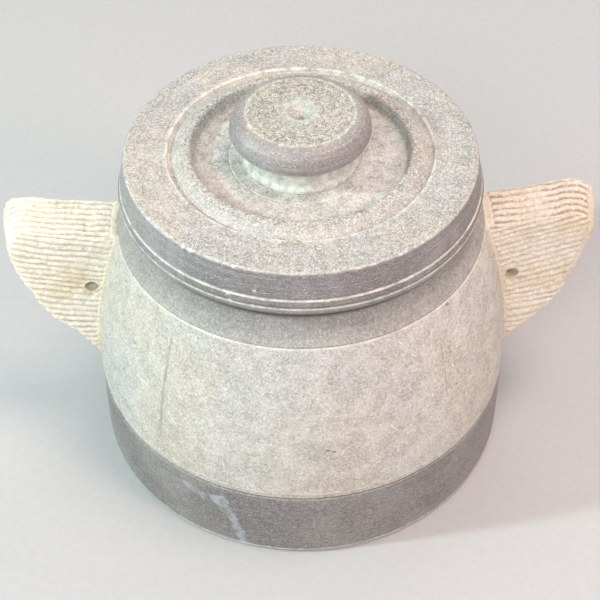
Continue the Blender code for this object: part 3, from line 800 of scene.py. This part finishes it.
def stone_grain(graph, stone, colour, dark, fleck, unroll):
    """Pits, streaks round the piece, pale flecks, and the olive tone of coarse stone."""
    pits = graph.between(stone.grain, 0.36, 0.50, fleck, 0.0)
    pits = graph.math("MULTIPLY", pits, graph.between(stone.polish, 0.2, 0.9, 1.0, 0.6))
    colour = graph.mix(pits, colour, PIT_SHADE, "MULTIPLY")
    streaked = graph.noise(graph.stretch(unrolled(graph), (330.0, 2300.0, 1.0)), 1.0, 2.0, 0.6)
    streaks = graph.between(streaked, 0.56, 0.70)
    streaks = graph.math("MULTIPLY", streaks, graph.between(stone.polish, 0.4, 0.9, 0.0, 0.42))
    colour = graph.mix(streaks, colour, scaled(dark, 2.5))
    if not unroll:
        turned = graph.between(stone.rings, 0.36, 0.56, 0.40, 0.0)
        turned = graph.math("MULTIPLY", turned, graph.between(stone.polish, 0.2, 0.8, 1.0, 0.0))
        colour = graph.mix(turned, colour, RING_SHADE, "MULTIPLY")
    rough_patch = graph.math("ADD", graph.between(stone.coarse, 0.0, 1.0, 0.0, 0.05), stone.fine)
    light = graph.between(rough_patch, 0.53, 0.68, 0.0, fleck)
    light = graph.math("MULTIPLY", light, graph.between(stone.polish, 0.1, 0.65, 1.0, 0.30))
    colour = graph.mix(light, colour, FLECK)
    olive = graph.math("MULTIPLY", stone.coarse, graph.between(stone.grain, 0.36, 0.54, 0.55, 0.0))
    colour = graph.mix(olive, colour, OLIVE)
    moss = graph.math("MULTIPLY", stone.coarse, graph.between(stone.mottle, 0.46, 0.66, 0.0, 0.35))
    return graph.mix(moss, colour, MOSS)


def stone_tooling(graph, stone, colour, unroll):
    """The fine file strokes and, on the pot, the dark ones and the marks of use."""
    lines = fibres(graph, stone.flat, (20.0, 65.0, 110.0, 155.0), 0.0017, 0.00026, 0.585)
    lines = graph.math("MULTIPLY", lines, graph.between(stone.polish, 0.1, 0.8, 0.50, 0.20))
    colour = graph.mix(lines, colour, FILED_PALE)
    if unroll:
        cuts = fibres(graph, stone.flat, (5.0, 50.0, 95.0, 140.0), 0.0022, 0.00034, 0.60)
        cuts = graph.math("MULTIPLY", cuts, graph.between(stone.polish, 0.1, 0.8, 0.42, 0.10))
        colour = graph.mix(cuts, colour, FILED_DARK)
        colour = pot_marks(graph, stone.flat, colour, stone.polish)
    return colour


def soapstone(name, pale, dark, worn_colour, fleck, tinted, unroll):
    """Pale where it is filed, dark where it is polished, near black where shade is painted along seams and
    grooves, cream where an edge is worn or chipped.
    """
    graph = Graph(name)
    stone = StoneValues(graph, unroll)
    colour = stone_body(graph, stone, pale, dark, tinted)
    colour = stone_grain(graph, stone, colour, dark, fleck, unroll)
    colour = stone_tooling(graph, stone, colour, unroll)
    # Painted shade: near black where the point value "dark" is set, along the lid seam and in grooves, and
    # darker pits.
    colour = graph.mix(graph.math("MULTIPLY", graph.attribute("dark"), 0.85), colour, SHADE_AND_PIT_BLACK)
    colour = graph.mix(graph.math("MULTIPLY", stone.worn, 0.9), colour, worn_colour)
    rough = graph.between(stone.polish, 0.1, 0.9, 0.70, 0.45)
    rough = graph.math("MAXIMUM", rough, graph.math("MULTIPLY", stone.worn, 0.75))
    rough = graph.math("ADD", rough, graph.between(stone.grain, 0.3, 0.7, -0.08, 0.08))
    normal = graph.bump(stone.fine, 0.20, 0.0003)
    normal = graph.bump(stone.grain, 0.25, 0.0004, normal)
    normal = graph.bump(graph.math("MULTIPLY", stone.rings, stone.polish), 0.12, 0.0004, normal)
    return graph.finish(colour, rough, normal, 0.5)


# Each mark is ((distance round from the front, height), lean in degrees, length, width), in millimetres.
# A scratch has its bend last. A lean of fine scratches is (degrees, length and width in metres, cover).
LONG_SCRATCHES = (
    ((-54.0, 55.5), -6.0, 4.9, 0.35, 0.03),
    ((-42.0, 49.0), -48.0, 7.7, 0.35, 0.02),
    ((24.5, 52.0), -55.0, 4.5, 0.40, -0.03),
    ((25.5, 43.0), -80.0, 3.5, 0.40, 0.05),
    ((29.0, 80.5), -62.0, 2.8, 0.35, 0.0),
    ((33.0, 74.5), -50.0, 2.4, 0.40, 0.0),
    ((41.0, 78.0), 62.0, 3.1, 0.35, 0.0),
    ((51.0, 73.0), 58.0, 3.5, 0.45, 0.0),
    ((47.0, 63.0), -70.0, 1.8, 0.60, 0.0),
    ((-25.0, 39.0), -84.0, 6.3, 0.30, 0.01),
    ((38.0, 57.5), 86.0, 1.5, 0.55, 0.0),
    ((9.0, 47.5), 75.0, 2.1, 0.35, 0.05),
)
SCRATCH_LEANS = (
    (32.0, 0.0060, 0.00026, 0.47),
    (-48.0, 0.0050, 0.00026, 0.49),
    (64.0, 0.0045, 0.00026, 0.49),
    (-12.0, 0.0060, 0.00028, 0.51),
    (8.0, 0.0040, 0.00024, 0.52),
    (-75.0, 0.0045, 0.00026, 0.51),
)
DARK_SEAMS = (
    ((-45.5, 59.0), 88.5, 46.0, 1.2),
    ((44.0, 64.0), 90.0, 26.0, 0.5),
)
DARK_DOTS = (
    ((47.0, 68.0), 0.7),
    ((48.0, 55.0), 0.7),
    ((49.5, 83.0), 1.3),
    ((5.0, 49.0), 0.9),
    ((6.5, 48.4), 0.7),
)
VEIN = (
    ((-25.0, 22.5), 30.0, 6.0, 5.5),
    ((-22.5, 18.0), -60.0, 10.0, 4.6),
    ((-20.0, 11.5), -70.0, 10.0, 3.4),
    ((-18.0, 5.0), -64.0, 10.0, 3.0),
    ((-33.0, 23.0), -24.0, 10.0, 3.6),
)


SEAM_TEAR = 0.0007
VEIN_TEAR = 0.0035


def torn(graph, flat, share):
    """The unrolled surface pushed about a little by noise, so that a mark drawn on it has ragged edges."""
    noise = graph.add("ShaderNodeTexNoise")
    graph.put(noise.inputs["Vector"], flat)
    noise.inputs["Scale"].default_value = 220.0
    node = graph.add("ShaderNodeMix", data_type="VECTOR")
    graph.put(node.inputs[0], share)
    graph.put(node.inputs[4], flat)
    graph.put(node.inputs[5], noise.outputs["Color"])
    return node.outputs[1]


def pot_marks(graph, flat, colour, polish):
    """The belly's scratches and dark seams, and the pale vein in the base."""
    filed = graph.between(polish, 0.2, 0.7, 0.8, 0.15)
    fine = most(graph, [scratches(graph, flat, *lean) for lean in SCRATCH_LEANS])
    long = most(graph, [stroke(graph, flat, *scratch) for scratch in LONG_SCRATCHES])
    light = graph.math("MULTIPLY", graph.math("MAXIMUM", fine, long), filed)
    colour = graph.mix(graph.math("MULTIPLY", light, 0.8), colour, SCRATCH_PALE)
    wander = graph.noise(flat, 160.0, 3.0)
    ragged = torn(graph, flat, SEAM_TEAR)
    seams = most(graph, [stroke(graph, ragged, *seam) for seam in DARK_SEAMS])
    seams = graph.math("MULTIPLY", seams, graph.between(wander, 0.35, 0.6, 0.35, 0.75))
    colour = graph.mix(seams, colour, SEAM_GREY)
    dots = most(graph, [stroke(graph, flat, at, 0.0, size * 1.6, size) for at, size in DARK_DOTS])
    colour = graph.mix(graph.math("MULTIPLY", dots, 0.7), colour, DOT_BLACK)
    ragged = torn(graph, flat, VEIN_TEAR)
    veins = most(graph, [stroke(graph, ragged, *part) for part in VEIN])
    patchy = graph.between(graph.noise(flat, 300.0, 4.0), 0.36, 0.60, 0.18, 0.62)
    veins = graph.math("MULTIPLY", veins, patchy)
    return graph.mix(veins, colour, VEIN_BLUE)


def handle_stone(name, pale, tan, valley_shade):
    """Tooled stone, palest on the ridges and along its joint, with painted shade in the valleys."""
    graph = Graph(name)
    place = graph.place()
    valley = graph.attribute("valley")
    mottle = graph.noise(place, 110.0, 4.0, 0.6)
    grain = graph.noise(place, 900.0, 3.0, 0.7)
    colour = graph.mix(graph.between(mottle, 0.35, 0.7), pale, tan)
    ochre = graph.between(graph.noise(place, 60.0, 3.0), 0.50, 0.68, 0.0, 0.55)
    colour = graph.mix(ochre, colour, HANDLE_OCHRE)
    # Painted shade: the valleys darken towards brown, by the valley value.
    colour = graph.mix(graph.between(valley, 0.30, 1.2, 0.0, valley_shade), colour, VALLEY_SHADE_BROWN)
    colour = graph.mix(graph.between(grain, 0.48, 0.70, 0.0, 0.55), colour, GRAIN_PALE)
    colour = graph.mix(graph.between(grain, 0.30, 0.45, 0.5, 0.0), colour, GRAIN_DARK)
    colour = graph.mix(graph.math("MULTIPLY", graph.attribute("strip"), 0.30), colour, tan)
    colour = graph.mix(graph.math("MULTIPLY", graph.attribute("joint"), 0.6), colour, JOINT_CREAM)
    normal = graph.bump(grain, 0.5, 0.0005)
    normal = graph.bump(graph.noise(place, 2600.0, 2.0), 0.3, 0.0002, normal)
    return graph.finish(colour, 0.82, normal, 0.25)


IRON_GREY = (0.10, 0.095, 0.09)
RUST_BROWN = (0.22, 0.10, 0.05)
FLOOR_PALE = (0.50, 0.50, 0.50)
FLOOR_FIBRE = (0.48, 0.48, 0.48)


def pin_iron():
    graph = Graph("pin_iron")
    place = graph.place()
    rust = graph.noise(place, 700.0, 4.0, 0.6)
    colour = graph.mix(graph.between(rust, 0.45, 0.65), IRON_GREY, RUST_BROWN)
    graph.shader.inputs["Metallic"].default_value = 0.8
    rough = graph.between(rust, 0.3, 0.7, 0.45, 0.8)
    return graph.finish(colour, rough, graph.bump(rust, 0.4, 0.0003), 0.5)


def floor_paper():
    graph = Graph("floor_paper")
    fibre = graph.noise(graph.place(), 400.0, 3.0)
    colour = graph.mix(graph.between(fibre, 0.3, 0.7), FLOOR_PALE, FLOOR_FIBRE)
    return graph.finish(colour, 0.9, graph.bump(fibre, 0.05, 0.0002), 0.1)


# ---------------------------------------------------------------- building the object


def dress(obj, material, body, nodes):
    obj.data.materials.clear()
    obj.data.materials.append(material)
    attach(obj, body)
    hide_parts(*nodes)


def build_stones():
    pot = turned_piece("pot_stone", pot_rows(), pot_relief)
    pot_look = soapstone(
        "pot_soapstone",
        pale=(0.575, 0.547, 0.503),
        dark=(0.162, 0.150, 0.148),
        worn_colour=(0.80, 0.76, 0.66),
        fleck=0.52,
        tinted=0.45,
        unroll=True,
    )
    dress(pot, pot_look, "pot", ["pot_body"])
    lid = turned_piece("lid_stone", lid_rows(), lid_relief)
    lid_look = soapstone(
        "lid_soapstone",
        pale=(0.36, 0.352, 0.34),
        dark=(0.205, 0.192, 0.197),
        worn_colour=(0.80, 0.77, 0.70),
        fleck=0.45,
        tinted=0.3,
        unroll=False,
    )
    dress(lid, lid_look, "lid", ["lid"])
    knob = turned_piece("knob_stone", knob_rows(), knob_relief)
    knob_look = soapstone(
        "knob_soapstone",
        pale=(0.245, 0.228, 0.172),
        dark=(0.285, 0.262, 0.265),
        worn_colour=(0.70, 0.73, 0.68),
        fleck=0.36,
        tinted=0.3,
        unroll=False,
    )
    dress(knob, knob_look, "lid", ["knob"])


def build_handles():
    left_look = handle_stone(
        "handle_left_stone", pale=(0.82, 0.77, 0.66), tan=(0.75, 0.69, 0.56), valley_shade=0.50
    )
    # The right wing's stone is a darker, pinker copy of the left's with more valley shade: a shaded copy,
    # painted shade for how light falls on that side.
    right_look = handle_stone(
        "handle_right_stone_shaded", pale=(0.77, 0.69, 0.59), tan=(0.67, 0.58, 0.47), valley_shade=0.85
    )
    left = handle_piece(
        "handle_left", "wing_left", side=-1, slope=0.21, top_pitch=2.4, top_strip=2.2, border=False, seed=71
    )
    right = handle_piece(
        "handle_right", "wing_right", side=1, slope=0.36, top_pitch=2.9, top_strip=2.8, border=True, seed=91
    )
    dress(left, left_look, "pot", ["handle_left"])
    dress(right, right_look, "pot", ["handle_right"])


def dress_pins():
    look = pin_iron()
    for name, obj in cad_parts.items():
        if "pin" in name:
            obj.data.materials.clear()
            obj.data.materials.append(look)


# ---------------------------------------------------------------- floor, light and camera


FLOOR_HALF_WIDTH = 12.0
FLOOR_DROP = 0.0002  # the floor lies just under the pot, so that the two don't flicker
LIGHT_DISTANCE = 1.0
LIGHT_TARGET = Vector((0.0, 0.0, 0.07))
WORLD_STRENGTH = 0.52

# name, azimuth and elevation in degrees, size in metres, power in watts, colour
LIGHTS = (
    ("key_left", 191, 31, 0.07, 6.3, (0.74, 1.0, 0.99)),
    ("warm_overhead", 350, 76, 0.36, 3.5, (1.0, 0.77, 0.705)),
    ("warm_right", 320, 36, 0.30, 3.4, (1.0, 0.69, 0.63)),
    ("front_fill", 250, 38, 0.40, 3.8, (0.98, 0.99, 1.0)),
    ("back_fill", 65, 42, 0.60, 2.0, (1.0, 1.0, 1.0)),
)


def build_floor():
    bm = bmesh.new()
    bmesh.ops.create_grid(bm, x_segments=8, y_segments=8, size=FLOOR_HALF_WIDTH)
    mesh = bpy.data.meshes.new("floor")
    bm.to_mesh(mesh)
    bm.free()
    floor = bpy.data.objects.new("floor", mesh)
    floor.location.z = -FLOOR_DROP
    bpy.context.scene.collection.objects.link(floor)
    mesh.materials.append(floor_paper())


def area_light(name, azimuth, elevation, size, power, colour):
    """A round soft light. Azimuth 0 is along +X and 270 is in front of the pot."""
    around, up = math.radians(azimuth), math.radians(elevation)
    aim = Vector((math.cos(around) * math.cos(up), math.sin(around) * math.cos(up), math.sin(up)))
    light = bpy.data.lights.new(name, "AREA")
    light.shape = "DISK"
    light.size = size
    light.energy = power
    light.color = colour
    obj = bpy.data.objects.new(name, light)
    obj.location = LIGHT_TARGET + aim * LIGHT_DISTANCE
    obj.rotation_euler = (-aim).to_track_quat("-Z", "Y").to_euler()
    bpy.context.scene.collection.objects.link(obj)


def build_light():
    for light in LIGHTS:
        area_light(*light)
    world = bpy.data.worlds.new("studio")
    world.use_nodes = True
    background = world.node_tree.nodes["Background"]
    background.inputs["Color"].default_value = (1.0, 1.0, 1.0, 1.0)
    background.inputs["Strength"].default_value = WORLD_STRENGTH
    bpy.context.scene.world = world
    bpy.context.scene.view_settings.view_transform = "Standard"


PITCH = math.radians(45.77)
ROLL = math.radians(-0.45)
TURN = math.radians(-2.0)
LID_RADIUS = 52.5
CAMERA_BACK = 5.983 * LID_RADIUS
CAMERA_UP = 4.927 * LID_RADIUS
CAMERA_SIDE = -0.0101 * LID_RADIUS
FOCAL_PIXELS = 1372.4
FRAME_PIXELS = 600
SENSOR = 36.0


def build_camera():
    camera = bpy.data.cameras.new("camera")
    camera.sensor_width = SENSOR
    camera.lens = SENSOR * FOCAL_PIXELS / FRAME_PIXELS
    camera.clip_start = 0.01
    obj = bpy.data.objects.new("camera", camera)
    turn = Euler((0.0, 0.0, TURN)).to_matrix()
    place = turn @ Vector((CAMERA_SIDE, -CAMERA_BACK, LID_TOP_Z + CAMERA_UP))
    obj.location = place * MM
    aim = turn @ Euler((math.pi / 2 - PITCH, 0.0, 0.0)).to_matrix() @ Euler((0.0, 0.0, ROLL)).to_matrix()
    obj.rotation_euler = aim.to_euler()
    bpy.context.scene.collection.objects.link(obj)
    bpy.context.scene.camera = obj


build_stones()
build_handles()
dress_pins()
build_floor()
build_light()
build_camera()
